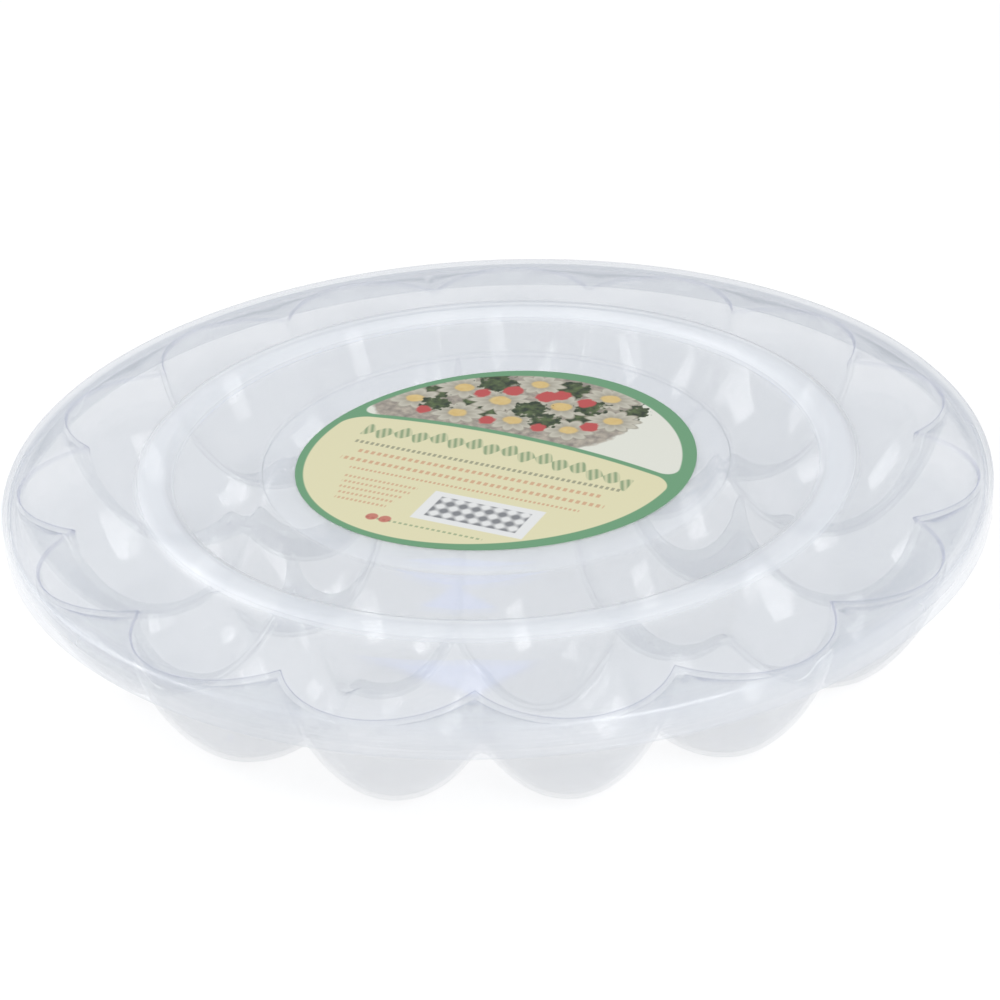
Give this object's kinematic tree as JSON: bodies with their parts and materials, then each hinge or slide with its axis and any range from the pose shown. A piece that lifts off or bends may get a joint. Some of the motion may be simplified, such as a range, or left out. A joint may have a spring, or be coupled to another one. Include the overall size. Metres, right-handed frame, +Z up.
{
  "type": "deviled egg carrier",
  "caption": "Round clear tray with two rings of egg-shaped wells under a clear press-on lid with a printed label, for carrying and serving halved eggs",
  "frame": {"origin": "under the middle of the tray, on the surface that its wells stand on", "axes": "+Z up, -Y to the front of the carrier, +X to its right"},
  "size_m": [0.315, 0.315, 0.0486],
  "materials": {
    "tray_plastic": "clear moulded plastic with polished walls and a faint blue cast",
    "lid_plastic": "clear moulded plastic, glossy, edges pale blue",
    "label_paper": "printed film label, satin"
  },
  "bodies": {
    "tray": {"tray": "tray_plastic"},
    "lid": {"lid": "lid_plastic", "label": "label_paper"}
  },
  "joints": [
    {"name": "lid_lift", "type": "slide", "parent": "tray", "child": "lid", "axis": [0, 0, 1], "range_m": [0, 0.06]}
  ]
}
